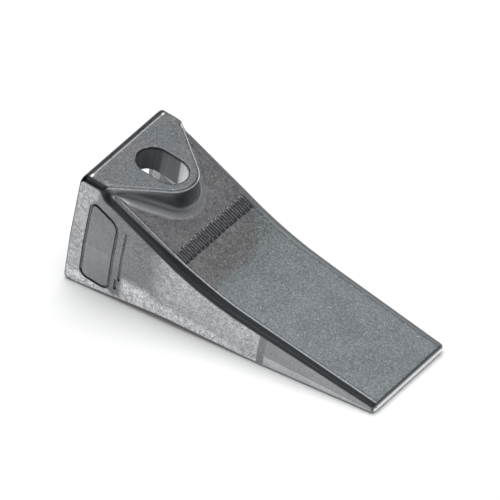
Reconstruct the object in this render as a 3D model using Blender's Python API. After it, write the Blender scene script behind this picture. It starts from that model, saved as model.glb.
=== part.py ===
"""Cast bucket tooth: a hollow box with a pin slot that runs out into a flat chisel blade."""
import math

import bmesh
import bpy
import numpy as np
from mathutils import Vector

MM = 0.001

# Casting frame: x runs from the rear face to the cutting edge, z runs along the pin, y = 0 is the middle
LENGTH = 185.0 * MM
REAR_HEIGHT = 71.8 * MM

# Top outline, seen from the side
PAD_TOP = 35.7 * MM
RIM_LENGTH = 14.25 * MM
RIM_STEP = 3.4 * MM
RIM_STEP_RUN = 0.9 * MM
SLOPE_ANGLE = math.radians(20.4)
BLADE_ANGLE = math.radians(4.7)
TIP_THICKNESS = 5.55 * MM
THROAT_RADIUS = 173.0 * MM
REAR_EDGE_RADIUS = 4.2 * MM
RIM_EDGE_RADIUS = 1.0 * MM
RIM_FOOT_RADIUS = 4.0 * MM

# Underside: two flats in one plane, the sole, with a shallow arch between them
REAR_BOTTOM = PAD_TOP - REAR_HEIGHT
SOLE_ANGLE = math.radians(8.95)
REAR_FOOT_LENGTH = 9.0 * MM
ARCH_TOP_X = 57.0 * MM
ARCH_RISE = 2.8 * MM
BLADE_FOOT_START = 114.0 * MM
ARCH_START_RADIUS = 64.0 * MM
ARCH_RADIUS = 160.0 * MM
REAR_BOTTOM_RADIUS = 2.2 * MM

# Sides, seen from above, at the height of the parting line
REAR_HALF_WIDTH = 35.6 * MM
WAIST_X = 57.0 * MM
WAIST_HALF_WIDTH = 34.8 * MM
TIP_HALF_WIDTH = 29.95 * MM
WAIST_RADIUS = 400.0 * MM
REAR_SIDE_RADIUS = 1.2 * MM
TIP_CORNER_RADIUS = 2.0 * MM
UPPER_DRAFT = math.radians(2.5)
LOWER_DRAFT = math.radians(1.7)

# Height of the parting line above the sole, along the sides
PARTING_REAR = 31.7 * MM
PARTING_KNEE_X = 55.0 * MM
PARTING_KNEE = 26.05 * MM
PARTING_LOW_X = 119.0 * MM
PARTING_LOW = 7.95 * MM
PARTING_TIP = 3.25 * MM

# Rounding of the long edges: width across the top face and drop down the side
REAR_ROUND_WIDTH = 2.8 * MM
REAR_ROUND_DROP = 2.4 * MM
RIM_ROUND_WIDTH = 4.3 * MM
RIM_ROUND_FRONT_WIDTH = 2.5 * MM
RIM_ROUND_DROP = 3.2 * MM
SLOPE_ROUND_WIDTH = 5.4 * MM
SLOPE_ROUND_DROP = 3.6 * MM
THROAT_ROUND_WIDTH = 4.9 * MM
THROAT_ROUND_DROP = 3.3 * MM
TIP_ROUND_WIDTH = 3.3 * MM
TIP_ROUND_DROP = 2.6 * MM
SOLE_ROUND_RADIUS = 1.6 * MM
TIP_EDGE_RADIUS = 1.5 * MM
ROUND_SHARE = 0.7

# Raised pad around the pin slot
PAD_WALL = 5.35 * MM
PAD_CORNER_OVERLAP = 0.5 * MM
PAD_NECK_MARGIN = 0.1 * MM
PAD_TAIL_MARGIN = 0.9 * MM
PAD_EDGE_RADIUS = 1.2 * MM
PAD_EDGE_SHARE = 0.2
PAD_DRAFT = math.radians(4.0)
COVE_REACH = 4.6 * MM
COVE_LEAST = 0.3 * MM
COVE_SHARE = 0.75
PAD_BURY = 3.0 * MM

# Pin slot
SLOT_CENTRE_X = 25.95 * MM
SLOT_WIDTH = 18.9 * MM
SLOT_LENGTH = 28.5 * MM

# Socket for the nose that carries the tooth
SOCKET_SIDE_WALL = 5.2 * MM
SOCKET_ROOF_WALL = 12.0 * MM
SOCKET_FLOOR_WALL = 11.6 * MM
SOCKET_DEPTH = 70.0 * MM
SOCKET_SIDE_TAPER = math.radians(5.7)
SOCKET_ROOF_TAPER = math.radians(14.0)
SOCKET_FLOOR_TAPER = math.radians(9.5)
SOCKET_CORNER_RADIUS = 6.0 * MM
SOCKET_MOUTH_CHAMFER = 2.4 * MM
SOCKET_MOUTH_DEPTH = 3.6 * MM
SOCKET_END_RADIUS = 4.0 * MM

# Fineness of the curves: steps in each arc, in the order of the outline's corners
TOP_ARC_STEPS = (8, 3, 5, 20, 4)
BOTTOM_ARC_STEPS = (4, 3, 8, 5, 4)
SIDE_ARC_STEPS = (3, 8, 3)
ROUND_STEPS = 7
SOLE_ROUND_STEPS = 3
PAD_EDGE_STEPS = 3
PAD_ARC_STEPS = 18
PAD_LEG_STEPS = 8
COVE_STEPS = 6
SLOT_ARC_STEPS = 24
SOCKET_ARC_STEPS = 6
CUT_MARGIN = 6.0 * MM
STATION_DIGITS = 6
SMOOTH_ANGLE = math.radians(30.0)

CAST_COLOUR = (0.13, 0.14, 0.145, 1.0)
CAST_ROUGHNESS = 0.5
CAST_METALLIC = 0.75


def clear_scene():
    for old in list(bpy.data.objects):
        bpy.data.objects.remove(old, do_unlink=True)


def cast_steel():
    material = bpy.data.materials.new("cast_steel")
    material.use_nodes = True
    shader = material.node_tree.nodes["Principled BSDF"]
    shader.inputs["Base Color"].default_value = CAST_COLOUR
    shader.inputs["Roughness"].default_value = CAST_ROUGHNESS
    shader.inputs["Metallic"].default_value = CAST_METALLIC
    return material


def conic_arc(start, corner, end, steps):
    """Points of a smooth arc from start to end that is tangent to both lines at the corner."""
    first = (start - corner).normalized()
    second = (end - corner).normalized()
    weight = math.sqrt(max(0.0, (1.0 - first.dot(second)) / 2.0))
    points = []
    for index in range(steps + 1):
        t = index / steps
        a = (1.0 - t) ** 2
        b = 2.0 * weight * t * (1.0 - t)
        c = t ** 2
        points.append((start * a + corner * b + end * c) / (a + b + c))
    return points


def rounded_line(corners, radii, steps):
    """An open outline through the corners, with an arc of its own radius and steps at each inner corner."""
    points = [Vector(corners[0])]
    for index in range(1, len(corners) - 1):
        corner = Vector(corners[index])
        back = (Vector(corners[index - 1]) - corner).normalized()
        ahead = (Vector(corners[index + 1]) - corner).normalized()
        half_turn = (math.pi - back.angle(ahead)) / 2.0
        reach = radii[index - 1] * math.tan(half_turn)
        points += conic_arc(corner + back * reach, corner, corner + ahead * reach, steps[index - 1])
    points.append(Vector(corners[-1]))
    return points


def slope_height(x):
    """Height of the sloping top face behind the throat, carried on as a straight line."""
    return PAD_TOP - RIM_STEP - (x - RIM_LENGTH) * math.tan(SLOPE_ANGLE)


def sole_height(x):
    return REAR_BOTTOM + x * math.tan(SOLE_ANGLE)


def blade_height(x):
    return sole_height(LENGTH) + TIP_THICKNESS + (LENGTH - x) * math.tan(BLADE_ANGLE)


def throat_place():
    """Distance from the rear at which the lines of the slope and the blade cross."""
    gap = slope_height(0.0) - blade_height(0.0)
    return gap / (math.tan(SLOPE_ANGLE) - math.tan(BLADE_ANGLE))


def top_outline():
    throat_x = throat_place()
    step_x = RIM_LENGTH + RIM_STEP_RUN
    corners = [
        (0.0, PAD_TOP - 2.0 * REAR_EDGE_RADIUS),
        (0.0, PAD_TOP),
        (RIM_LENGTH, PAD_TOP),
        (step_x, slope_height(step_x)),
        (throat_x, slope_height(throat_x)),
        (LENGTH, blade_height(LENGTH)),
        (LENGTH, blade_height(LENGTH) - 2.0 * TIP_EDGE_RADIUS),
    ]
    radii = [REAR_EDGE_RADIUS, RIM_EDGE_RADIUS, RIM_FOOT_RADIUS, THROAT_RADIUS, TIP_EDGE_RADIUS]
    return rounded_line(corners, radii, TOP_ARC_STEPS)[1:-1]


def bottom_outline():
    corners = [
        (0.0, REAR_BOTTOM + 2.0 * REAR_BOTTOM_RADIUS),
        (0.0, REAR_BOTTOM),
        (REAR_FOOT_LENGTH, sole_height(REAR_FOOT_LENGTH)),
        (ARCH_TOP_X, sole_height(ARCH_TOP_X) + ARCH_RISE),
        (BLADE_FOOT_START, sole_height(BLADE_FOOT_START)),
        (LENGTH, sole_height(LENGTH)),
        (LENGTH, sole_height(LENGTH) + 2.0 * TIP_EDGE_RADIUS),
    ]
    radii = [REAR_BOTTOM_RADIUS, ARCH_START_RADIUS, ARCH_RADIUS, ARCH_RADIUS, TIP_EDGE_RADIUS]
    return rounded_line(corners, radii, BOTTOM_ARC_STEPS)[1:-1]


def side_outline():
    corners = [
        (0.0, REAR_HALF_WIDTH - 2.0 * REAR_SIDE_RADIUS),
        (0.0, REAR_HALF_WIDTH),
        (WAIST_X, WAIST_HALF_WIDTH),
        (LENGTH, TIP_HALF_WIDTH),
        (LENGTH, TIP_HALF_WIDTH - 2.0 * TIP_CORNER_RADIUS),
    ]
    radii = [REAR_SIDE_RADIUS, WAIST_RADIUS, TIP_CORNER_RADIUS]
    return rounded_line(corners, radii, SIDE_ARC_STEPS)[1:-1]


def read_outline(outline, x, at_start):
    """Second coordinate of an outline at x; at its upright ends, the value where the end begins."""
    xs = [point.x for point in outline]
    values = [point.y for point in outline]
    if at_start:
        return values[0]
    if x >= xs[-1]:
        return values[-1]
    return float(np.interp(x, xs, values))


def edge_round(x):
    """Width and drop of the rounding along the top long edges at x."""
    slope_start = RIM_LENGTH + SLOPE_ROUND_WIDTH
    stations = [0.0, REAR_EDGE_RADIUS, RIM_LENGTH, slope_start, throat_place(), LENGTH]
    rear_widths = [REAR_ROUND_WIDTH, RIM_ROUND_WIDTH, RIM_ROUND_FRONT_WIDTH]
    rear_drops = [REAR_ROUND_DROP, RIM_ROUND_DROP, RIM_ROUND_DROP]
    widths = rear_widths + [SLOPE_ROUND_WIDTH, THROAT_ROUND_WIDTH, TIP_ROUND_WIDTH]
    drops = rear_drops + [SLOPE_ROUND_DROP, THROAT_ROUND_DROP, TIP_ROUND_DROP]
    return float(np.interp(x, stations, widths)), float(np.interp(x, stations, drops))


def parting_height(x):
    stations = [0.0, PARTING_KNEE_X, PARTING_LOW_X, LENGTH]
    heights = [PARTING_REAR, PARTING_KNEE, PARTING_LOW, PARTING_TIP]
    return sole_height(x) + float(np.interp(x, stations, heights))


def flat_half_width(x, height):
    """Half width of the top face at x, between its rounded long edges, where it has this height."""
    side = read_outline(side_outline(), x, False)
    return side - (height - parting_height(x)) * math.tan(UPPER_DRAFT) - edge_round(x)[0]


def body_section(x, top, bottom, half_width):
    """One cross-section of the outer form, as a closed ring of points in the plane of x."""
    parting = parting_height(x)
    upper = math.tan(UPPER_DRAFT)
    lower = math.tan(LOWER_DRAFT)
    width, drop = edge_round(x)
    drop = min(drop, ROUND_SHARE * (top - parting))
    foot = min(SOLE_ROUND_RADIUS, ROUND_SHARE * (parting - bottom))
    top_side = half_width - (top - parting) * upper
    bottom_side = half_width - (parting - bottom) * lower
    top_arc = conic_arc(
        Vector((top_side - width, top)),
        Vector((top_side, top)),
        Vector((top_side + drop * upper, top - drop)),
        ROUND_STEPS,
    )
    bottom_arc = conic_arc(
        Vector((bottom_side + foot * lower, bottom + foot)),
        Vector((bottom_side, bottom)),
        Vector((bottom_side - foot, bottom)),
        SOLE_ROUND_STEPS,
    )
    half = top_arc + [Vector((half_width, parting))] + bottom_arc
    right = [Vector((x, point.x, point.y)) for point in half]
    left = [Vector((x, -point.x, point.y)) for point in reversed(half)]
    return [Vector((x, 0.0, top))] + right + [Vector((x, 0.0, bottom))] + left


def loft(name, rings):
    """A closed solid through rings of equal point count, capped at both ends."""
    mesh = bpy.data.meshes.new(name)
    bm = bmesh.new()
    rows = [[bm.verts.new(point) for point in ring] for ring in rings]
    count = len(rows[0])
    for row, following in zip(rows, rows[1:]):
        for index in range(count):
            nearby = (index + 1) % count
            bm.faces.new((row[index], row[nearby], following[nearby], following[index]))
    bm.faces.new(rows[0])
    bm.faces.new(list(reversed(rows[-1])))
    bmesh.ops.recalc_face_normals(bm, faces=bm.faces)
    bm.to_mesh(mesh)
    bm.free()
    solid = bpy.data.objects.new(name, mesh)
    bpy.context.collection.objects.link(solid)
    return solid


def outer_form():
    top = top_outline()
    bottom = bottom_outline()
    side = side_outline()
    inner = {round(point.x, STATION_DIGITS) for outline in (top, bottom, side) for point in outline}
    stations = sorted(x for x in inner if 0.0 < x < LENGTH)
    rings = []
    for x in [0.0] + stations + [LENGTH]:
        at_start = x == 0.0
        values = [read_outline(outline, x, at_start) for outline in (top, bottom, side)]
        rings.append(body_section(x, *values))
    return loft("bucket_tooth", rings)


def slot_front_centre():
    return SLOT_CENTRE_X + (SLOT_LENGTH - SLOT_WIDTH) / 2.0


def pad_outline():
    """Plan of the pad's free edge as (point, outward normal) pairs, from the left side round to the right.

    An arc runs round the front of the slot, and two legs touch it and end at the rim's front corners.
    """
    centre = Vector((slot_front_centre(), 0.0))
    radius = SLOT_WIDTH / 2.0 + PAD_WALL
    corner = Vector((RIM_LENGTH, flat_half_width(RIM_LENGTH, PAD_TOP) + PAD_CORNER_OVERLAP))
    to_corner = corner - centre
    turn = math.atan2(to_corner.y, to_corner.x) - math.acos(radius / to_corner.length)
    touch = centre + Vector((math.cos(turn), math.sin(turn))) * radius
    pairs = []
    for index in range(PAD_ARC_STEPS + 1):
        angle = turn * (2.0 * index / PAD_ARC_STEPS - 1.0)
        normal = Vector((math.cos(angle), math.sin(angle)))
        pairs.append((centre + normal * radius, normal))
    normal = pairs[-1][1]
    for step in range(1, PAD_LEG_STEPS + 1):
        place = touch.lerp(corner, step / PAD_LEG_STEPS)
        pairs.append((place, normal))
        pairs.insert(0, (Vector((place.x, -place.y)), Vector((normal.x, -normal.y))))
    return pairs


def pad_levels(point, normal):
    """The pad's wall at one point of its edge: rounded edge, drafted wall and the cove onto the slope."""
    fall = math.tan(SLOPE_ANGLE) * normal.x
    draft = math.tan(PAD_DRAFT)
    ground = slope_height(point.x)
    foot_offset = (PAD_TOP - ground) * draft / (1.0 - draft * fall)
    foot = Vector((foot_offset, ground - foot_offset * fall))
    height = PAD_TOP - foot.y
    room = flat_half_width(point.x, ground) - abs(point.y) - foot_offset
    reach = max(COVE_LEAST, min(COVE_REACH, COVE_SHARE * height, room))
    edge = min(PAD_EDGE_RADIUS, PAD_EDGE_SHARE * height)
    edge_arc = conic_arc(
        Vector((-edge, PAD_TOP)),
        Vector((0.0, PAD_TOP)),
        Vector((edge * draft, PAD_TOP - edge)),
        PAD_EDGE_STEPS,
    )
    cove = conic_arc(
        foot + Vector((-draft, 1.0)).normalized() * reach,
        foot,
        foot + Vector((1.0, -fall)).normalized() * reach,
        COVE_STEPS,
    )
    root = cove[-1] + Vector((0.0, -PAD_BURY))
    levels = []
    for level in edge_arc + cove + [root]:
        place = point + normal * level.x
        levels.append(Vector((place.x, place.y, level.y)))
    return levels


def pad_form():
    """The pad as a solid of its own, with a tail that lies inside the rim."""
    walls = [pad_levels(point, normal) for point, normal in pad_outline()]
    neck_x = RIM_LENGTH - RIM_EDGE_RADIUS
    neck = flat_half_width(neck_x, PAD_TOP) - PAD_NECK_MARGIN
    tail_x = RIM_LENGTH / 2.0
    tail = flat_half_width(tail_x, PAD_TOP) - PAD_TAIL_MARGIN
    inside = [(neck_x, neck), (tail_x, tail), (tail_x, -tail), (neck_x, -neck)]
    rings = []
    for level in range(len(walls[0])):
        ring = [wall[level] for wall in walls]
        ring += [Vector((x, y, ring[0].z)) for x, y in inside]
        rings.append(ring)
    return loft("slot_pad", rings)


def stadium(z):
    """Outline of the pin slot at one height."""
    radius = SLOT_WIDTH / 2.0
    straight = (SLOT_LENGTH - SLOT_WIDTH) / 2.0
    ring = []
    for end in (1.0, -1.0):
        for index in range(SLOT_ARC_STEPS + 1):
            angle = math.pi * (index / SLOT_ARC_STEPS - 0.5)
            x = SLOT_CENTRE_X + end * (straight + radius * math.cos(angle))
            ring.append(Vector((x, end * radius * math.sin(angle), z)))
    return ring


def slot_cutter():
    return loft("slot_cutter", [stadium(REAR_BOTTOM - CUT_MARGIN), stadium(PAD_TOP + CUT_MARGIN)])


def socket_ring(x, grow):
    """One section of the socket, a rectangle with round corners, made larger by grow."""
    depth = max(x, 0.0)
    half_width = REAR_HALF_WIDTH - SOCKET_SIDE_WALL - depth * math.tan(SOCKET_SIDE_TAPER) + grow
    roof = PAD_TOP - SOCKET_ROOF_WALL - depth * math.tan(SOCKET_ROOF_TAPER) + grow
    floor = REAR_BOTTOM + SOCKET_FLOOR_WALL + depth * math.tan(SOCKET_FLOOR_TAPER) - grow
    radius = SOCKET_CORNER_RADIUS + grow
    ring = []
    corners = [(1.0, 1.0, roof), (-1.0, 1.0, roof), (-1.0, -1.0, floor), (1.0, -1.0, floor)]
    for quarter, (side, lift, height) in enumerate(corners):
        centre = Vector((side * (half_width - radius), height - lift * radius))
        for index in range(SOCKET_ARC_STEPS + 1):
            angle = (quarter + index / SOCKET_ARC_STEPS) * math.pi / 2.0
            point = centre + Vector((math.cos(angle), math.sin(angle))) * radius
            ring.append(Vector((x, point.x, point.y)))
    return ring


def socket_cutter():
    rings = [
        socket_ring(-CUT_MARGIN, SOCKET_MOUTH_CHAMFER + CUT_MARGIN / 2.0),
        socket_ring(0.0, SOCKET_MOUTH_CHAMFER),
        socket_ring(SOCKET_MOUTH_DEPTH, 0.0),
    ]
    for index in range(SOCKET_ARC_STEPS + 1):
        angle = math.pi / 2.0 * index / SOCKET_ARC_STEPS
        x = SOCKET_DEPTH - SOCKET_END_RADIUS * (1.0 - math.sin(angle))
        rings.append(socket_ring(x, -SOCKET_END_RADIUS * (1.0 - math.cos(angle))))
    return loft("socket_cutter", rings)


def combine(solid, other, operation):
    """Join or cut the solid with another one, which then stays only as a guide."""
    step = solid.modifiers.new(other.name, "BOOLEAN")
    step.operation = operation
    step.solver = "EXACT"
    step.object = other
    other.hide_render = True
    other.display_type = "WIRE"


def lay_on_sole(pieces, solid):
    """Tilt the casting until its sole lies flat at z = 0, with the middle of its footprint at the origin."""
    frame = bpy.data.objects.new("resting_frame", None)
    bpy.context.collection.objects.link(frame)
    for piece in pieces:
        piece.parent = frame
    frame.rotation_euler.y = SOLE_ANGLE
    bpy.context.view_layer.update()
    evaluated = solid.evaluated_get(bpy.context.evaluated_depsgraph_get())
    points = [evaluated.matrix_world @ vertex.co for vertex in evaluated.data.vertices]
    xs = [point.x for point in points]
    frame.location.x = -(min(xs) + max(xs)) / 2.0
    frame.location.z = -min(point.z for point in points)


def build():
    clear_scene()
    tooth = outer_form()
    pad = pad_form()
    slot = slot_cutter()
    socket = socket_cutter()
    combine(tooth, pad, "UNION")
    combine(tooth, slot, "DIFFERENCE")
    combine(tooth, socket, "DIFFERENCE")
    tooth.data.materials.append(cast_steel())
    tooth.data.shade_smooth()
    tooth.data.set_sharp_from_angle(angle=SMOOTH_ANGLE)
    lay_on_sole([tooth, pad, slot, socket], tooth)


build()
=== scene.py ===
"""Looks of the bucket tooth: the casting's fine surface, its steel, and a small studio to show it in."""

import math

import bmesh
import bpy
from mathutils import Matrix, Vector


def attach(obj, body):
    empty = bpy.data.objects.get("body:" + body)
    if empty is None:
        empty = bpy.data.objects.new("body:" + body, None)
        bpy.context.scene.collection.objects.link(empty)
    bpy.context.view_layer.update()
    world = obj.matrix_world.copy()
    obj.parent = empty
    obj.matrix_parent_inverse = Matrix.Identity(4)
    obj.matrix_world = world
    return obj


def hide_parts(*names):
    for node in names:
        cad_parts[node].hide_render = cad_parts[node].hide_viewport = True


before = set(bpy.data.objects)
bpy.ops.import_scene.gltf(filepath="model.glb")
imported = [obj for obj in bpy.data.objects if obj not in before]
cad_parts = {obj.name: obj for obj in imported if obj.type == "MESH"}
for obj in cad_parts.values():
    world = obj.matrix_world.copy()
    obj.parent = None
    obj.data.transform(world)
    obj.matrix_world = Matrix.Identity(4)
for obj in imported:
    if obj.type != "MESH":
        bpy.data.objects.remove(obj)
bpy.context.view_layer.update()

MM = 0.001

# Casting frame: x runs from the rear face to the cutting edge, z runs along the pin, y = 0 is the middle.
# The tooth lies on its sole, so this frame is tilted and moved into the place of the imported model.
SOLE_ANGLE = math.radians(8.95)
REAR_TO_MIDDLE = 88.55 * MM
SOLE_DROP = 35.66 * MM
TO_REST = Matrix.Translation((-REAR_TO_MIDDLE, 0.0, SOLE_DROP)) @ Matrix.Rotation(SOLE_ANGLE, 4, "Y")

# Fineness of the cast skin, and how near points lie that are merged
SKIN_GRID = 0.4 * MM
SKIN_TRIANGLES = 170000
SKIN_SMOOTHING = 4
SKIN_MERGE = 0.02 * MM
SOLID_MERGE = 0.002 * MM
ROD_MERGE = 0.01 * MM
SMOOTH_ANGLE = math.radians(40.0)

# Corners where the pad and the rim run down into the long edges
CORNER_REAR = 11.0 * MM
CORNER_FRONT = 19.5 * MM
CORNER_INNER = 28.5 * MM
CORNER_BOTTOM = 26.5 * MM
CORNER_SMOOTHING = 40

# Side of the box: a plain panel behind a groove, with an upright groove in front of it
SIDE_HALF_WIDTH = 35.2 * MM
PANEL_REAR = 9.4 * MM
PANEL_FRONT = 26.6 * MM
PANEL_TOP = 24.2 * MM
PANEL_BOTTOM = -26.6 * MM
PANEL_TOP_FALL = 6.5 * MM
PANEL_CORNER = 4.5 * MM
GROOVE_RADIUS = 0.85 * MM
PANEL_LINE_CUTS = 3
UPRIGHT_LINE_CUTS = 16
UPRIGHT_GROOVE_X = 32.0 * MM
UPRIGHT_GROOVE_TOP = 16.5 * MM
UPRIGHT_GROOVE_BOTTOM = -16.5 * MM
SHORT_GROOVE_X = 30.4 * MM
SHORT_GROOVE_TOP = -16.5 * MM
SHORT_GROOVE_BOTTOM = -23.5 * MM

# Row of plain raised bars across the slope
SLOPE_ANGLE = math.radians(20.4)
SLOPE_AT_REAR = 37.65 * MM
BAR_ROW_X = 61.2 * MM
BAR_ROW_HALF = 27.0 * MM
BAR_COUNT = 17
BAR_LENGTH = 7.0 * MM
BAR_WIDTH = 1.5 * MM
BAR_HEIGHT = 0.75 * MM
BAR_END_RADIUS = 0.6 * MM


def deselect():
    bpy.ops.object.select_all(action="DESELECT")


def activate(piece):
    deselect()
    piece.select_set(True)
    bpy.context.view_layer.objects.active = piece


def apply_modifier(piece, kind, **settings):
    activate(piece)
    step = piece.modifiers.new(kind.lower(), kind)
    for name, value in settings.items():
        setattr(step, name, value)
    bpy.ops.object.modifier_apply(modifier=step.name)


def edit(piece):
    activate(piece)
    bpy.ops.object.mode_set(mode="EDIT")


def leave_edit():
    bpy.ops.object.mode_set(mode="OBJECT")


def select_vertices(piece, wanted):
    """In edit mode, select the vertices whose place passes the test."""
    mesh = bmesh.from_edit_mesh(piece.data)
    for vertex in mesh.verts:
        vertex.select = wanted(vertex.co)
    mesh.select_flush_mode()
    bmesh.update_edit_mesh(piece.data)


def select_edges(piece, wanted):
    """In edit mode, select the edges whose two ends pass the test."""
    mesh = bmesh.from_edit_mesh(piece.data)
    for edge in mesh.edges:
        edge.select = wanted(edge.verts[0].co, edge.verts[1].co)
    bmesh.update_edit_mesh(piece.data)


def settle(piece):
    """Put a piece that was made in the casting frame into its place on the model."""
    activate(piece)
    piece.matrix_world = TO_REST @ piece.matrix_world
    bpy.ops.object.transform_apply(location=True, rotation=True, scale=True)


def casting_base():
    """The casting's main form, as a clean closed mesh."""
    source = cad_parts["bucket_tooth"]
    deselect()
    piece = source.copy()
    piece.data = source.data.copy()
    piece.name = "cast_tooth"
    piece.data.name = "cast_tooth"
    piece.parent = None
    bpy.context.collection.objects.link(piece)
    edit(piece)
    bpy.ops.mesh.select_all(action="SELECT")
    bpy.ops.mesh.remove_doubles(threshold=SOLID_MERGE)
    leave_edit()
    return piece


def bar():
    """The row's first raised bar on the slope, round at its ends and sunk into the casting by half."""
    z = SLOPE_AT_REAR - BAR_ROW_X * math.tan(SLOPE_ANGLE)
    deselect()
    bpy.ops.mesh.primitive_cube_add(size=1.0, location=(BAR_ROW_X, -BAR_ROW_HALF, z))
    piece = bpy.context.object
    piece.scale = (BAR_LENGTH, BAR_WIDTH, 2.0 * BAR_HEIGHT)
    bpy.ops.object.transform_apply(location=False, rotation=False, scale=True)
    edit(piece)
    select_edges(piece, lambda a, b: abs(a.z - b.z) > BAR_HEIGHT)
    bpy.ops.mesh.bevel(offset=BAR_END_RADIUS, offset_type="OFFSET", segments=3, affect="EDGES")
    leave_edit()
    piece.rotation_euler.y = SLOPE_ANGLE
    bpy.ops.object.transform_apply(location=True, rotation=True, scale=True)
    return piece


def join(pieces):
    deselect()
    for piece in pieces:
        piece.select_set(True)
    bpy.context.view_layer.objects.active = pieces[0]
    bpy.ops.object.join()
    return pieces[0]


def bar_row():
    """The row across the slope: copies of the first bar, each one step further than the last."""
    step = 2.0 * BAR_ROW_HALF / (BAR_COUNT - 1)
    pieces = [bar()]
    while len(pieces) < BAR_COUNT:
        activate(pieces[-1])
        bpy.ops.object.duplicate()
        bpy.ops.transform.translate(value=(0.0, step, 0.0))
        pieces.append(bpy.context.object)
    row = join(pieces)
    settle(row)
    return row


def rod_along(line, radius, target):
    """A round rod that follows an edge line laid onto the casting's surface."""
    apply_modifier(line, "SHRINKWRAP", target=target, wrap_method="NEAREST_SURFACEPOINT")
    activate(line)
    bpy.ops.object.convert(target="CURVE")
    rod = bpy.context.object
    rod.data.bevel_depth = radius
    rod.data.bevel_resolution = 2
    rod.data.use_fill_caps = True
    bpy.ops.object.convert(target="MESH")
    rod = bpy.context.object
    edit(rod)
    bpy.ops.mesh.select_all(action="SELECT")
    bpy.ops.mesh.remove_doubles(threshold=ROD_MERGE)
    bpy.ops.mesh.normals_make_consistent(inside=False)
    leave_edit()
    return rod


def flat_outline(side, rear, front, bottom, top):
    """An upright rectangle beside the casting, as a start for the lines on its side."""
    middle = ((rear + front) / 2.0, side * SIDE_HALF_WIDTH, (top + bottom) / 2.0)
    deselect()
    bpy.ops.mesh.primitive_plane_add(size=1.0, location=middle, rotation=(math.pi / 2.0, 0.0, 0.0))
    line = bpy.context.object
    line.scale = (front - rear, top - bottom, 1.0)
    bpy.ops.object.transform_apply(location=True, rotation=True, scale=True)
    return line


def panel_line(side):
    """The panel's outline: a rectangle with round corners whose top falls to the front."""
    line = flat_outline(side, PANEL_REAR, PANEL_FRONT, PANEL_BOTTOM, PANEL_TOP)
    edit(line)
    select_vertices(line, lambda place: place.x > PANEL_FRONT - MM and place.z > 0.0)
    bpy.ops.transform.translate(value=(0.0, 0.0, -PANEL_TOP_FALL))
    bpy.ops.mesh.select_all(action="SELECT")
    bpy.ops.mesh.bevel(offset=PANEL_CORNER, offset_type="OFFSET", segments=6, affect="VERTICES")
    bpy.ops.mesh.select_all(action="SELECT")
    bpy.ops.mesh.delete(type="ONLY_FACE")
    bpy.ops.mesh.select_all(action="SELECT")
    bpy.ops.mesh.subdivide(number_cuts=PANEL_LINE_CUTS)
    leave_edit()
    settle(line)
    return line


def upright_line(side, x, top, bottom):
    """A straight line down the casting's side: one edge of a rectangle, cut into short lengths."""
    line = flat_outline(side, x, x + MM, bottom, top)
    edit(line)
    select_vertices(line, lambda place: place.x > x + MM / 2.0)
    bpy.ops.mesh.delete(type="VERT")
    bpy.ops.mesh.select_all(action="SELECT")
    bpy.ops.mesh.subdivide(number_cuts=UPRIGHT_LINE_CUTS)
    leave_edit()
    settle(line)
    return line


def side_grooves(target):
    rods = []
    for side in (-1.0, 1.0):
        long_line = upright_line(side, UPRIGHT_GROOVE_X, UPRIGHT_GROOVE_TOP, UPRIGHT_GROOVE_BOTTOM)
        short_line = upright_line(side, SHORT_GROOVE_X, SHORT_GROOVE_TOP, SHORT_GROOVE_BOTTOM)
        for line in (panel_line(side), long_line, short_line):
            rods.append(rod_along(line, GROOVE_RADIUS, target))
    return join(rods)


def soften_corners(piece):
    """Run the pad's rear corners, the rim and the long edges softly into each other."""
    to_casting = TO_REST.inverted()

    def near_corner(place):
        spot = to_casting @ place
        return CORNER_REAR < spot.x < CORNER_FRONT and abs(spot.y) > CORNER_INNER and spot.z > CORNER_BOTTOM

    edit(piece)
    select_vertices(piece, near_corner)
    bpy.ops.mesh.vertices_smooth(factor=0.5, repeat=CORNER_SMOOTHING)
    leave_edit()


def cast_tooth():
    """The whole casting with its soft cast edges, the bars on the slope and the grooves in its sides."""
    piece = join([casting_base(), bar_row()])
    apply_modifier(piece, "REMESH", mode="VOXEL", voxel_size=SKIN_GRID)
    apply_modifier(piece, "SMOOTH", factor=0.5, iterations=SKIN_SMOOTHING)
    soften_corners(piece)
    share = SKIN_TRIANGLES / (2.0 * len(piece.data.polygons))
    apply_modifier(piece, "DECIMATE", ratio=min(1.0, share))
    cutter = side_grooves(piece)
    cutter.data.materials.clear()
    cutter.data.materials.append(groove_steel())
    piece.data.materials.clear()
    piece.data.materials.append(cast_steel())
    apply_modifier(piece, "BOOLEAN", object=cutter, operation="DIFFERENCE", solver="EXACT")
    bpy.data.objects.remove(cutter, do_unlink=True)
    edit(piece)
    bpy.ops.mesh.select_all(action="SELECT")
    bpy.ops.mesh.remove_doubles(threshold=SKIN_MERGE)
    bpy.ops.mesh.quads_convert_to_tris()
    bpy.ops.mesh.dissolve_degenerate(threshold=SKIN_MERGE)
    leave_edit()
    activate(piece)
    bpy.ops.object.shade_smooth_by_angle(angle=SMOOTH_ANGLE)
    return piece


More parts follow.
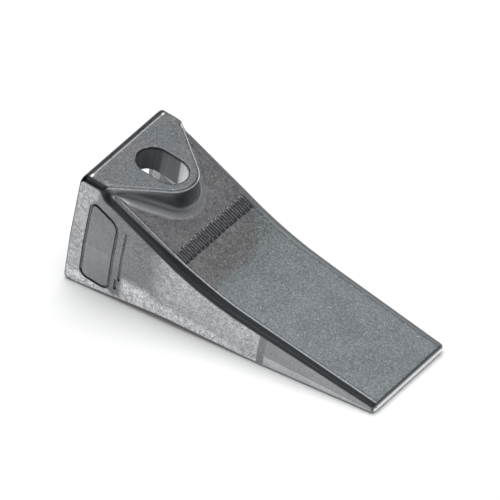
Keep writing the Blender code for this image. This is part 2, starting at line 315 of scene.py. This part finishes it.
class Shader:
    """Short forms for building a material's node tree."""

    def __init__(self, name):
        self.material = bpy.data.materials.new(name)
        self.material.use_nodes = True
        self.tree = self.material.node_tree
        self.surface = self.tree.nodes["Principled BSDF"]

    def add(self, kind, inputs=None, **settings):
        node = self.tree.nodes.new(kind)
        for name, value in settings.items():
            setattr(node, name, value)
        for key, value in (inputs or {}).items():
            socket = node.inputs[key]
            if isinstance(value, bpy.types.NodeSocket):
                self.tree.links.new(value, socket)
            else:
                socket.default_value = value
        return node

    def maths(self, operation, a, b=0.0, c=0.0):
        return self.add("ShaderNodeMath", {0: a, 1: b, 2: c}, operation=operation).outputs[0]

    def blend(self, factor, a, b, mode="MIX"):
        node = self.add("ShaderNodeMix", data_type="RGBA", blend_type=mode)
        for key, value in ((0, factor), (6, a), (7, b)):
            socket = node.inputs[key]
            if isinstance(value, bpy.types.NodeSocket):
                self.tree.links.new(value, socket)
            else:
                socket.default_value = value
        return node.outputs[2]

    def noise(self, place, size, detail=2.0, roughness=0.5, distortion=0.0):
        """Noise with features of about this size in millimetres."""
        inputs = {
            "Vector": place,
            "Scale": 1.0 / size,
            "Detail": detail,
            "Roughness": roughness,
            "Distortion": distortion,
        }
        return self.add("ShaderNodeTexNoise", inputs).outputs["Fac"]

    def ramp(self, value, low, high):
        """0 below low, 1 above high and a smooth rise between."""
        inputs = {"Value": value, "From Min": low, "From Max": high}
        node = self.add("ShaderNodeMapRange", inputs, interpolation_type="SMOOTHSTEP")
        return node.outputs["Result"]

    def band(self, value, middle, half_width):
        """1 at the middle, falling smoothly to 0 at half_width on both sides."""
        return self.ramp(self.maths("ABSOLUTE", self.maths("SUBTRACT", value, middle)), half_width, 0.0)

    def split(self, vector):
        return self.add("ShaderNodeSeparateXYZ", {0: vector}).outputs

    def grey(self, level):
        return self.add("ShaderNodeCombineColor", {0: level, 1: level, 2: level}).outputs[0]

    def product(self, *values):
        result = values[0]
        for value in values[1:]:
            result = self.maths("MULTIPLY", result, value)
        return result

    def largest(self, *values):
        result = values[0]
        for value in values[1:]:
            result = self.maths("MAXIMUM", result, value)
        return result

    def link(self, value, name):
        self.tree.links.new(value, self.surface.inputs[name])


# Tones of the steel, as the share of light that it throws back; many of them paint in light and shade, as
# said where they are used
BLADE_TONE = (0.139, 0.152, 0.160)
PAD_TONE = (0.128, 0.138, 0.146)
PAD_BROWN_TONE = (0.130, 0.128, 0.130)
SLOPE_TONE = (0.170, 0.169, 0.173)
SIDE_TONE = (0.238, 0.242, 0.252)
SIDE_PALE_TONE = (0.50, 0.505, 0.515)
SIDE_BRIGHT_TONE = (0.92, 0.925, 0.93)
EDGE_TONE = (0.085, 0.091, 0.100)
EDGE_BLACK_TONE = (0.011, 0.012, 0.013)
EDGE_PALE_TONE = (0.31, 0.32, 0.33)
TIP_LINE_TONE = (0.195, 0.202, 0.210)
WALL_TONE = (0.10, 0.105, 0.111)
WALL_DARK_TONE = (0.135, 0.142, 0.150)
WALL_PALE_TONE = (0.29, 0.297, 0.307)
COVE_TONE = (0.14, 0.145, 0.152)
COVE_FOOT_TONE = (0.50, 0.505, 0.515)
SLOT_TONE = (0.19, 0.202, 0.212)
SLOT_SIDE_TONE = (0.27, 0.287, 0.30)
SLOT_BRIGHT_TONE = (0.95, 0.955, 0.96)
TIP_TONE = (0.86, 0.865, 0.87)
GROOVE_TONE = (0.022, 0.023, 0.024)
# Painted highlight: the lines beside the edges and the glints on the top faces
HIGHLIGHT_TONE = (0.42, 0.425, 0.435)
PAD_LINE_TONE = (0.62, 0.625, 0.635)

# Places that the tones follow, in millimetres: x from the rear, y from the middle and z along the pin.
# Where a value has two numbers, its tone starts at the first and is full at the second.
TOP_HALF_WIDTH = 33.95
TOP_TAPER_START = 57.0
TOP_TAPER = 0.0327

# The painted highlight line along each long edge, measured inwards from the top's side line, and the painted
# shade beyond it
HIGHLIGHT_LINE_GAP = 5.0
HIGHLIGHT_LINE_START = 75.0
HIGHLIGHT_LINE_CLOSING = 0.019
HIGHLIGHT_LINE_FADE_X = (75.0, 110.0)
INNER_LINE = 0.85
SLOPE_START_X = (17.0, 21.0)
EDGE_SOFTENING_X = (85.0, 20.0)
# The right-hand long edges are painted paler: a painted reflection
RIGHT_PALE_EDGE_Y = (15.0, 25.0)
REAR_BLACK_X = (24.0, 16.0)

# The rear edge, painted dark, its painted highlight line and the painted bright spots at the ends of that
# line at the corners
REAR_BAND_X = (3.9, 3.1)
PAST_MOUTH_X = (4.0, 5.0)
OVER_MOUTH_Z = (28.0, 30.0)
REAR_LINE_X = 4.4
REAR_LINE_Z = (34.0, 35.0)
REAR_LINE_END_Y = (31.5, 30.0)
CORNER_LINE_Y = 29.6
CORNER_LINE_Z = (33.0, 34.0)

# The cutting edge, with a painted dark line along it and its front face painted bright as a painted
# reflection, and the edge of the sole, painted bright
TIP_BAND_X = (184.0, 184.5)
TIP_BAND_Z = (-3.1, -2.7)
TIP_FRONT_X = (175.0, 180.0)
SOLE_EDGE_X = (4.0, 8.0)
SOLE_EDGE_GAP = (3.5, 2.5)

# The pad, its wall and the hollow below it; PAD_STEP is the step down to the slope at the pad's rear
PAD_HEIGHT = 35.7
PAD_REAR = 14.25
PAD_STEP = 3.4
PAD_FACE_Z = (35.0, 35.5)
BELOW_PAD_Z = (34.5, 33.0)
PAD_EDGE_X = (14.0, 15.5)
PAD_EDGE_Z = (33.8, 34.6)
WALL_REAR_X = (14.2, 15.2)
WALL_FRONT_X = (56.0, 54.0)
WALL_END_GAP = (2.0, 3.5)
WALL_TOP_Z = (31.5, 34.0)
UNDER_POINT_X = (27.0, 39.0)
ROUND_POINT_Y = (-9.0, 0.0)
FOOT_LINE_REAR_X = (17.0, 22.0)
FOOT_LINE_FRONT_X = (58.0, 55.0)
FOOT_LINE_END_GAP = (5.0, 6.0)

# The pin slot, with its reach measured from its middle line
SLOT_MIDDLE = 25.95
SLOT_HALF_STRAIGHT = 4.8
SLOT_REACH = (11.05, 10.45)
SLOT_RIM_Z = (34.0, 34.5)
SLOT_FOOT_Z = (18.9, 18.4)
SLOT_FLOOR_Z = (-2.0, -1.0)
SLOT_FRONT_X = (30.2, 31.0)
SLOT_FRONT_Z = (10.0, 12.0)

# The row of bars, and the line where the slope's browner skin gives way to the blade's blue grey
ROW_REACH = (4.6, 3.6)
ROW_END_Y = (28.8, 28.0)
ROW_Z = (9.0, 10.0)
TINT_LINE_X = (89.0, 92.0)
TINT_WANDER = 14.0
TINT_TURN = 17.0
TINT_TURN_Y = (8.0, 27.0)
SLOPE_DEEPENING_X = (55.0, 80.0)
COARSE_SKIN_X = (90.0, 78.0)

# The sides: painted light in a strip behind the panel, below it, low down and ahead; smooth skin beside the
# blade, painted paler below the parting line
STRIP_FRONT_X = 9.6
STRIP_WIDENING = 3.6
STRIP_WIDENING_Z = (22.0, 27.0)
STRIP_SOFTNESS = (1.2, -0.4)
BELOW_PANEL_Z = (-22.0, -26.0)
LOW_DOWN_X = (32.0, 35.0)
LOW_DOWN_Z = (-6.0, -13.0)
AHEAD_X = (40.0, 56.0)
SIDE_LIGHT_END_X = (115.9, 115.1)
SMOOTH_START_X = (119.4, 120.0)
PANEL_FACE_REAR_X = (9.2, 9.5)
PANEL_FACE_FRONT_X = (26.6, 26.2)
PANEL_FACE_Z = (-27.0, -26.0)
BOX_PARTING_Z = (-3.35, -3.65)
BLADE_PARTING = -9.95
BLADE_PARTING_START = 117.0
BLADE_PARTING_RISE = 0.07
BLADE_PARTING_SOFTNESS = (0.4, -0.4)


def colour(tone):
    return (tone[0], tone[1], tone[2], 1.0)


def invert(s, value):
    return s.maths("SUBTRACT", 1.0, value)


def place_and_facing(s):
    """The place in the casting frame in millimetres, and the way the surface looks in that frame."""
    source = s.add("ShaderNodeTexCoord")
    moved = tuple(step / MM for step in TO_REST.inverted().to_translation())
    inputs = {"Vector": source.outputs["Object"], "Location": moved, "Rotation": (0.0, -SOLE_ANGLE, 0.0)}
    inputs["Scale"] = (1.0 / MM, 1.0 / MM, 1.0 / MM)
    place = s.add("ShaderNodeMapping", inputs).outputs["Vector"]
    inputs = {"Vector": source.outputs["Normal"], "Rotation": (0.0, -SOLE_ANGLE, 0.0)}
    facing = s.add("ShaderNodeMapping", inputs, vector_type="VECTOR").outputs["Vector"]
    return place, facing


class Casting(Shader):
    """The casting's node tree, with the places, facings and grains that its tones follow."""

    def __init__(self, name):
        super().__init__(name)
        self.place, facing = place_and_facing(self)
        self.x, self.y, self.z = self.split(self.place)
        self.face_x, self.face_y, self.face_z = self.split(facing)
        self.beside = self.maths("ABSOLUTE", self.y)
        self.find_grain()
        self.find_faces()
        self.find_edges()

    def find_grain(self):
        self.grain = self.noise(self.place, 1.0, detail=2.0, roughness=0.6)
        self.fine = self.noise(self.place, 0.7, detail=1.0)
        self.coarse = self.noise(self.place, 2.4, detail=2.0, roughness=0.6)
        self.patches = self.noise(self.place, 14.0, detail=3.0, roughness=0.6)
        self.wander = self.noise(self.place, 9.0, detail=4.0, roughness=0.6)

    def find_faces(self):
        """Top, side and all that looks up, by the way the surface faces."""
        across = self.maths("ABSOLUTE", self.face_y)
        self.top = self.product(self.ramp(across, 0.34, 0.14), self.ramp(self.face_z, 0.78, 0.90))
        self.side = self.ramp(across, 0.955, 0.995)
        self.upward = self.product(self.ramp(self.face_z, 0.02, 0.12), invert(self, self.side))

    def find_edges(self):
        """How far inside the top's side line a place lies, and how far inside the painted highlight line."""
        ahead = self.maths("MAXIMUM", self.maths("SUBTRACT", self.x, TOP_TAPER_START), 0.0)
        half_width = self.maths("SUBTRACT", TOP_HALF_WIDTH, self.maths("MULTIPLY", ahead, TOP_TAPER))
        self.gap = self.maths("SUBTRACT", half_width, self.beside)
        closing = self.maths("MAXIMUM", self.maths("SUBTRACT", self.x, HIGHLIGHT_LINE_START), 0.0)
        line_gap = self.maths("MULTIPLY_ADD", closing, -HIGHLIGHT_LINE_CLOSING, HIGHLIGHT_LINE_GAP)
        self.from_line = self.maths("SUBTRACT", self.gap, line_gap)
        self.right_hand = self.ramp(self.y, *RIGHT_PALE_EDGE_Y)

    def wandering(self, value, reach):
        """The value, moved to and fro by up to this reach, for an uneven border."""
        return self.maths("MULTIPLY_ADD", self.wander, reach, value)


def edge_places(s):
    """Painted shade on the edges, dark from the painted highlight line outwards, but painted paler down the
    right-hand side as a painted reflection.
    """
    softness = s.maths("MULTIPLY_ADD", s.ramp(s.x, *EDGE_SOFTENING_X), 2.2, 0.8)
    not_in_mouth = s.largest(s.ramp(s.x, *PAST_MOUTH_X), s.ramp(s.z, *OVER_MOUTH_Z))
    beyond_line = s.ramp(s.maths("DIVIDE", s.from_line, softness), -0.05, -0.95)
    edge = s.product(beyond_line, s.upward, not_in_mouth)
    rear_edge = s.product(s.ramp(s.x, *REAR_BAND_X), s.ramp(s.z, *OVER_MOUTH_Z), s.upward)
    tip_edge = s.product(s.ramp(s.x, *TIP_BAND_X), s.ramp(s.z, *TIP_BAND_Z))
    long_edge = s.product(edge, invert(s, s.right_hand))
    dark = s.largest(long_edge, s.product(rear_edge, 0.45), tip_edge, s.product(edge, rear_edge))
    pale = s.product(edge, s.right_hand, 0.85)
    return dark, pale, tip_edge


def edge_tones(s, tip_edge):
    """Painted shade on the edges: blackest where an edge looks up, at the rear corners and along the box;
    the cutting edge's painted line is a lighter grey.
    """
    corner = s.product(s.ramp(s.x, *REAR_BAND_X), s.ramp(s.from_line, 0.0, -1.0))
    beside_box = s.product(s.ramp(s.x, *REAR_BLACK_X), 0.6)
    blacker = s.largest(s.ramp(s.face_z, 0.72, 0.90), corner, beside_box)
    edge_colour = s.blend(blacker, colour(EDGE_TONE), colour(EDGE_BLACK_TONE))
    return s.blend(s.product(tip_edge, 0.9), edge_colour, colour(TIP_LINE_TONE))


def slot_places(s):
    """The lip round the pin slot, and all that lies inside it."""
    along = s.maths("ABSOLUTE", s.maths("SUBTRACT", s.x, SLOT_MIDDLE))
    run = s.maths("MAXIMUM", s.maths("SUBTRACT", along, SLOT_HALF_STRAIGHT), 0.0)
    reach = s.maths("SQRT", s.maths("ADD", s.product(run, run), s.product(s.y, s.y)))
    by_slot = s.ramp(reach, *SLOT_REACH)
    in_slot = s.product(by_slot, s.ramp(s.face_z, 0.9, 0.6))
    slot_rim = s.product(by_slot, s.ramp(s.face_z, 0.985, 0.93), s.ramp(s.z, *SLOT_RIM_Z))
    return by_slot, in_slot, slot_rim


def slot_tones(s):
    """The slot's walls, with painted light: paler at the sides, bright in front and at the foot, with
    streaks along the pin.
    """
    foot = s.product(s.ramp(s.z, *SLOT_FOOT_Z), s.ramp(s.z, *SLOT_FLOOR_Z))
    front = s.product(s.ramp(s.x, *SLOT_FRONT_X), s.ramp(s.face_x, 0.1, 0.0), s.ramp(s.z, *SLOT_FRONT_Z))
    slot_colour = s.blend(s.ramp(s.face_x, 0.3, 0.0), colour(SLOT_TONE), colour(SLOT_SIDE_TONE))
    slot_colour = s.blend(s.largest(front, foot), slot_colour, colour(SLOT_BRIGHT_TONE))
    inputs = {"Vector": s.place, "Scale": (1.0, 1.0, 0.06)}
    drawn_down = s.add("ShaderNodeMapping", inputs).outputs["Vector"]
    streaks = s.maths("MULTIPLY_ADD", s.noise(drawn_down, 1.6, detail=2.0), 0.7, 0.65)
    return s.blend(1.0, slot_colour, s.grey(streaks), "MULTIPLY")


def wall_places(s, in_slot):
    """How far down the pad's wall a place lies, from 0 at its top to 1 at the slope, and the wall itself."""
    behind = s.maths("SUBTRACT", s.x, PAD_REAR)
    pad_height = s.maths("MULTIPLY_ADD", behind, math.tan(SLOPE_ANGLE), PAD_STEP)
    drop = s.maths("SUBTRACT", PAD_HEIGHT, s.z)
    down = s.maths("DIVIDE", drop, s.maths("MAXIMUM", pad_height, PAD_STEP))
    along = s.product(s.ramp(s.x, *WALL_REAR_X), s.ramp(s.x, *WALL_FRONT_X), s.ramp(s.gap, *WALL_END_GAP))
    wall = s.product(s.ramp(down, 0.1, 0.2), along, invert(s, s.top), invert(s, s.side))
    wall = s.product(wall, invert(s, in_slot), s.ramp(s.face_z, -0.1, 0.0))
    return down, wall


def wall_tones(s):
    """The pad's wall and the hollow below it, in painted light and shade: the wall dark, paler at its top
    and round its point, the hollow brighter towards its foot.
    """
    under_point = s.ramp(s.x, *UNDER_POINT_X)
    round_point = s.product(under_point, s.ramp(s.y, *ROUND_POINT_Y))
    high_up = s.product(s.ramp(s.z, *WALL_TOP_Z), 0.5)
    wall_colour = s.blend(under_point, colour(WALL_TONE), colour(WALL_DARK_TONE))
    wall_colour = s.blend(s.largest(round_point, high_up), wall_colour, colour(WALL_PALE_TONE))
    cove_colour = s.blend(s.ramp(s.face_z, 0.45, 0.85), colour(COVE_TONE), colour(COVE_FOOT_TONE))
    return s.blend(s.ramp(s.face_z, 0.15, 0.65), wall_colour, cove_colour)


def highlight_lines(s, down):
    """Painted highlight lines beside the long edges, behind the rear edge and at the foot of the pad's wall,
    and a painted dark line just inside the long ones.
    """
    fading = s.maths("MULTIPLY_ADD", s.ramp(s.x, *HIGHLIGHT_LINE_FADE_X), -0.72, 1.0)
    on_slope = s.product(s.ramp(s.x, *SLOPE_START_X), s.upward)
    fainter_on_right = s.maths("MULTIPLY_ADD", s.right_hand, -0.75, 1.0)
    long_line = s.product(s.band(s.from_line, 0.05, 0.6), on_slope, s.top, fading, fainter_on_right)
    rear_line = s.product(s.band(s.x, REAR_LINE_X, 0.6), s.ramp(s.z, *REAR_LINE_Z))
    rear_line = s.product(rear_line, s.ramp(s.beside, *REAR_LINE_END_Y))
    foot_line = s.product(s.band(s.face_z, 0.875, 0.07), s.ramp(down, 0.5, 0.7), 1.1)
    foot_line = s.product(foot_line, s.ramp(s.x, *FOOT_LINE_REAR_X), s.ramp(s.x, *FOOT_LINE_FRONT_X))
    foot_line = s.product(foot_line, s.ramp(s.gap, *FOOT_LINE_END_GAP))
    uneven = s.maths("MULTIPLY_ADD", s.coarse, 1.2, 0.2)
    highlight = s.product(s.largest(long_line, rear_line, foot_line), uneven)
    inner_line = s.product(s.band(s.from_line, INNER_LINE, 0.5), on_slope, 0.8)
    return highlight, inner_line


def pad_lines(s, by_slot):
    """Round the pad's edge, painted light and shade: a pale highlight line, a bright one down its right and
    at the rear corners, and a dark one inside them.
    """
    on_edge = s.product(s.ramp(s.z, *PAD_EDGE_Z), s.ramp(s.x, *PAD_EDGE_X), invert(s, by_slot))
    pale = s.product(s.band(s.face_z, 0.48, 0.40), on_edge)
    right = s.product(s.ramp(s.face_y, 0.15, 0.45), on_edge)
    corner = s.product(s.band(s.x, REAR_LINE_X, 1.0), s.band(s.beside, CORNER_LINE_Y, 1.6))
    corner = s.product(corner, s.ramp(s.z, *CORNER_LINE_Z))
    inner = s.product(s.band(s.face_z, 0.935, 0.06), on_edge)
    return s.product(pale, s.maths("MULTIPLY_ADD", s.coarse, 0.8, 0.5)), s.largest(right, corner), inner


def bar_row_places(s):
    """The row of bars, and the sides of its bars, both used for painted shade."""
    from_row = s.maths("ABSOLUTE", s.maths("SUBTRACT", s.x, BAR_ROW_X / MM))
    row = s.product(s.ramp(from_row, *ROW_REACH), s.ramp(s.beside, *ROW_END_Y), s.ramp(s.z, *ROW_Z))
    return row, s.product(row, s.ramp(s.face_z, 0.925, 0.85))


def top_tones(s):
    """The slope's browner skin ends in an uneven line, which turns back along the far edge."""
    turned = s.maths("MULTIPLY_ADD", s.ramp(s.y, *TINT_TURN_Y), TINT_TURN, s.x)
    past_line = s.ramp(s.wandering(turned, TINT_WANDER), *TINT_LINE_X)
    deepening = s.maths("MULTIPLY_ADD", s.ramp(s.x, *SLOPE_DEEPENING_X), -0.26, 1.0)
    slope_colour = s.blend(1.0, colour(SLOPE_TONE), s.grey(deepening), "MULTIPLY")
    top_colour = s.blend(past_line, slope_colour, colour(BLADE_TONE))
    pad_colour = s.blend(s.ramp(s.patches, 0.42, 0.62), colour(PAD_TONE), colour(PAD_BROWN_TONE))
    return s.blend(s.ramp(s.z, *PAD_FACE_Z), top_colour, pad_colour)


def lit_side_places(s):
    """Painted light on the sides, broken by a speckle of the cast grain: behind the panel, below it, low
    down and towards the blade.
    """
    strip_front = s.maths("MULTIPLY_ADD", s.ramp(s.z, *STRIP_WIDENING_Z), STRIP_WIDENING, STRIP_FRONT_X)
    from_strip = s.maths("SUBTRACT", s.wandering(s.x, 2.4), strip_front)
    behind_panel = s.product(s.ramp(from_strip, *STRIP_SOFTNESS), 0.45)
    below_panel = s.ramp(s.wandering(s.z, 5.0), *BELOW_PANEL_Z)
    low_down = s.product(s.ramp(s.wandering(s.z, 8.0), *LOW_DOWN_Z), s.ramp(s.x, *LOW_DOWN_X))
    ahead = s.product(s.ramp(s.wandering(s.x, -10.0), *AHEAD_X), 0.52)
    side_light = s.largest(behind_panel, below_panel, low_down, ahead)
    coarse_speckle = s.product(s.ramp(s.coarse, 0.3, 0.7), 0.5)
    speckle = s.maths("MULTIPLY_ADD", s.ramp(s.fine, 0.36, 0.66), 0.5, coarse_speckle)
    bright = s.maths("MULTIPLY_ADD", speckle, 0.8, 0.2)
    return s.product(side_light, s.ramp(s.x, *SIDE_LIGHT_END_X), bright)


def side_tones(s):
    """Both sides, painted paler below the parting line as painted light, and where their skin is smoother.
    """
    panel = s.product(s.ramp(s.x, *PANEL_FACE_REAR_X), s.ramp(s.x, *PANEL_FACE_FRONT_X))
    lower_panel = s.product(s.ramp(s.z, *BOX_PARTING_Z), panel, 0.1)
    beside_blade = s.ramp(s.x, *SMOOTH_START_X)
    run = s.maths("SUBTRACT", s.x, BLADE_PARTING_START)
    parting = s.maths("MULTIPLY_ADD", run, BLADE_PARTING_RISE, BLADE_PARTING)
    below_parting = s.ramp(s.maths("SUBTRACT", s.z, parting), *BLADE_PARTING_SOFTNESS)
    blade_side = s.product(beside_blade, s.maths("MULTIPLY_ADD", below_parting, 0.75, 0.25))
    side_colour = s.blend(s.largest(blade_side, lower_panel), colour(SIDE_TONE), colour(SIDE_PALE_TONE))
    side_colour = s.blend(lit_side_places(s), side_colour, colour(SIDE_BRIGHT_TONE))
    in_panel = s.product(panel, s.ramp(s.z, *PANEL_FACE_Z))
    return side_colour, s.product(s.side, s.largest(in_panel, beside_blade))


def grain_shade(s, smoother, inner_line, row):
    """Light and dark of the cast grain, with the painted dark lines inside the highlight lines and the row's
    painted shade in it.
    """
    coarse_skin = s.product(s.ramp(s.x, *COARSE_SKIN_X), s.ramp(s.z, *BELOW_PAD_Z), s.top)
    depth = s.maths("MULTIPLY_ADD", smoother, -0.8, 1.6)
    fine_grain = s.maths("MULTIPLY_ADD", s.maths("SUBTRACT", s.grain, 0.5), depth, 1.0)
    coarse_depth = s.product(s.maths("SUBTRACT", s.coarse, 0.5), coarse_skin)
    coarse_grain = s.maths("MULTIPLY_ADD", coarse_depth, 0.9, 1.0)
    shade = s.product(s.maths("MULTIPLY_ADD", s.patches, 0.5, 0.75), fine_grain, coarse_grain)
    shade = s.product(shade, s.maths("MULTIPLY_ADD", inner_line, -0.6, 1.0))
    return s.product(shade, s.maths("MULTIPLY_ADD", row, -0.25, 1.0))


def cast_steel():
    """Satin cast steel: finely grained faces, smooth edges painted dark with painted highlight lines, and
    painted light on the flanks.
    """
    s = Casting("cast_steel")
    dark, pale_edge, tip_edge = edge_places(s)
    by_slot, in_slot, slot_rim = slot_places(s)
    down, wall = wall_places(s, in_slot)
    highlight, inner_line = highlight_lines(s, down)
    pad_line, bright_line, inner_pad_line = pad_lines(s, by_slot)
    row, row_sides = bar_row_places(s)
    side_colour, smoother = side_tones(s)

    # The sides take paler tones than the top faces, by which way the surface faces: painted light.
    face_colour = s.blend(s.side, top_tones(s), side_colour)
    shade = grain_shade(s, smoother, s.largest(inner_line, inner_pad_line), row)
    face_colour = s.blend(1.0, face_colour, s.grey(shade), "MULTIPLY")
    glints = s.product(s.ramp(s.fine, 0.60, 0.72), s.top, 0.5)
    face_colour = s.blend(glints, face_colour, colour(HIGHLIGHT_TONE))

    # Painted reflection: the cutting edge's front face is painted near white.
    tip_front = s.product(s.ramp(s.face_x, 0.7, 0.9), s.ramp(s.x, *TIP_FRONT_X))
    # Painted light: the sole's edge is painted bright.
    sole_edge = s.product(s.ramp(s.face_z, 0.0, -0.2), s.ramp(s.gap, *SOLE_EDGE_GAP))
    sole_edge = s.product(sole_edge, s.ramp(s.x, *SOLE_EDGE_X), 0.3)
    # Painted light and shade on the pad's wall and the hollow below it.
    whole = s.blend(wall, face_colour, wall_tones(s))
    # Painted light inside the pin slot.
    whole = s.blend(in_slot, whole, slot_tones(s))
    whole = s.blend(tip_front, whole, colour(TIP_TONE))
    # Painted reflection: the right-hand edges are painted paler.
    whole = s.blend(pale_edge, whole, colour(EDGE_PALE_TONE))
    whole = s.blend(sole_edge, whole, colour(TIP_TONE))
    # Painted shade: the edges, the slot's lip and the bars' sides take the dark edge tones.
    whole = s.blend(s.largest(dark, slot_rim, row_sides), whole, edge_tones(s, tip_edge))
    # Painted highlight lines beside the edges and at the pad's foot.
    whole = s.blend(highlight, whole, colour(HIGHLIGHT_TONE))
    # Painted highlights round the pad's edge, the brightest down its right and at the rear corners.
    whole = s.blend(pad_line, whole, colour(PAD_LINE_TONE))
    whole = s.blend(bright_line, whole, colour(TIP_TONE))
    s.link(whole, "Base Color")

    smooth = s.largest(dark, wall)
    face_roughness = s.maths("MULTIPLY_ADD", s.coarse, 0.2, 0.36)
    s.link(s.maths("MULTIPLY_ADD", smooth, -0.14, face_roughness), "Roughness")
    s.link(s.maths("MULTIPLY_ADD", in_slot, -0.7, 1.0), "Metallic")

    rough = s.maths("MULTIPLY_ADD", smooth, -0.8, 1.0)
    height = s.product(s.maths("MULTIPLY_ADD", s.coarse, 0.7, s.grain), rough)
    bump = s.add("ShaderNodeBump", {"Height": height, "Strength": 0.6, "Distance": 0.10 * MM})
    s.link(bump.outputs["Normal"], "Normal")
    return s.material


def groove_steel():
    """The side grooves, painted near black as painted shade."""
    s = Shader("groove_shade")
    source = s.add("ShaderNodeTexCoord")
    inputs = {"Vector": source.outputs["Object"], "Scale": (1.0 / MM, 1.0 / MM, 1.0 / MM)}
    place = s.add("ShaderNodeMapping", inputs).outputs["Vector"]
    level = s.maths("MULTIPLY_ADD", s.noise(place, 1.2), 0.6, 0.7)
    s.link(s.blend(1.0, colour(GROOVE_TONE), s.grey(level), "MULTIPLY"), "Base Color")
    s.surface.inputs["Roughness"].default_value = 0.6
    s.surface.inputs["Metallic"].default_value = 1.0
    return s.material


# The studio, in metres: its floor, its soft box and its walls, which are a little darker behind the tooth
FLOOR_SIZE = 8.0
LIGHT_PLACE = (-0.3, 0.3, 3.0)
LIGHT_SIZE = (3.0, 3.0)
LIGHT_POWER = 107.0
LIGHT_AIM = (0.0, 0.0, 0.04)
WALL_COLOUR = (0.97, 0.985, 1.0, 1.0)
WALL_FRONT = 0.38
WALL_BACK = 0.3
WALL_BACK_AIM = Vector((-0.05, 0.66, 0.75)).normalized()


def floor():
    deselect()
    bpy.ops.mesh.primitive_plane_add(size=FLOOR_SIZE, location=(0.0, 0.0, 0.0))
    piece = bpy.context.object
    piece.name = "studio_floor"
    s = Shader("studio_floor")
    coordinates = s.add("ShaderNodeTexCoord").outputs["Object"]
    level = s.maths("MULTIPLY_ADD", s.noise(coordinates, 0.4), 0.02, 0.88)
    s.link(s.grey(level), "Base Color")
    s.surface.inputs["Roughness"].default_value = 0.9
    piece.data.materials.append(s.material)
    return piece


def soft_light():
    """A square soft box above the tooth, facing it."""
    data = bpy.data.lights.new("light_above", "AREA")
    data.shape = "RECTANGLE"
    data.size, data.size_y = LIGHT_SIZE
    data.energy = LIGHT_POWER
    lamp = bpy.data.objects.new("light_above", data)
    lamp.location = LIGHT_PLACE
    lamp.rotation_euler = (Vector(LIGHT_PLACE) - Vector(LIGHT_AIM)).to_track_quat("Z", "Y").to_euler()
    bpy.context.collection.objects.link(lamp)
    return lamp


def studio():
    """Even walls all round, from WALL_FRONT on the camera's side to WALL_BACK behind the tooth."""
    world = bpy.data.worlds.new("studio")
    bpy.context.scene.world = world
    world.use_nodes = True
    tree = world.node_tree
    background = tree.nodes["Background"]
    background.inputs["Color"].default_value = WALL_COLOUR
    direction = tree.nodes.new("ShaderNodeTexCoord").outputs["Generated"]
    turn = tree.nodes.new("ShaderNodeVectorMath")
    turn.operation = "DOT_PRODUCT"
    tree.links.new(direction, turn.inputs[0])
    turn.inputs[1].default_value = WALL_BACK_AIM
    wall = tree.nodes.new("ShaderNodeMapRange")
    wall.interpolation_type = "SMOOTHSTEP"
    tree.links.new(turn.outputs["Value"], wall.inputs["Value"])
    wall.inputs["From Min"].default_value = 0.1
    wall.inputs["From Max"].default_value = 0.9
    wall.inputs["To Min"].default_value = WALL_FRONT
    wall.inputs["To Max"].default_value = WALL_BACK
    tree.links.new(wall.outputs["Result"], background.inputs["Strength"])
    soft_light()


def plain_colours():
    """Shows the scene's colours as they are, so that a pale floor stays pale."""
    bpy.context.scene.view_settings.view_transform = "Standard"


# Camera: the photo's view, long lens, level
CAMERA_AZIMUTH = math.radians(35.98)
CAMERA_ELEVATION = math.radians(39.86)
CAMERA_AIM = Vector((-3.73, 0.0, 38.46)) * MM
VIEW_WIDTH = 248.2 * MM
LENS = 1200.0
SENSOR = 36.0


def camera():
    data = bpy.data.cameras.new("camera")
    data.lens = LENS
    data.sensor_width = SENSOR
    data.clip_end = 100.0
    back = Vector((
        math.sin(CAMERA_AZIMUTH) * math.cos(CAMERA_ELEVATION),
        -math.cos(CAMERA_AZIMUTH) * math.cos(CAMERA_ELEVATION),
        math.sin(CAMERA_ELEVATION),
    ))
    piece = bpy.data.objects.new("camera", data)
    piece.location = CAMERA_AIM + back * (VIEW_WIDTH * LENS / SENSOR)
    piece.rotation_euler = back.to_track_quat("Z", "Y").to_euler()
    bpy.context.collection.objects.link(piece)
    bpy.context.scene.camera = piece


camera()
studio()
floor()
plain_colours()
tooth = cast_tooth()
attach(tooth, "root")
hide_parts("bucket_tooth")
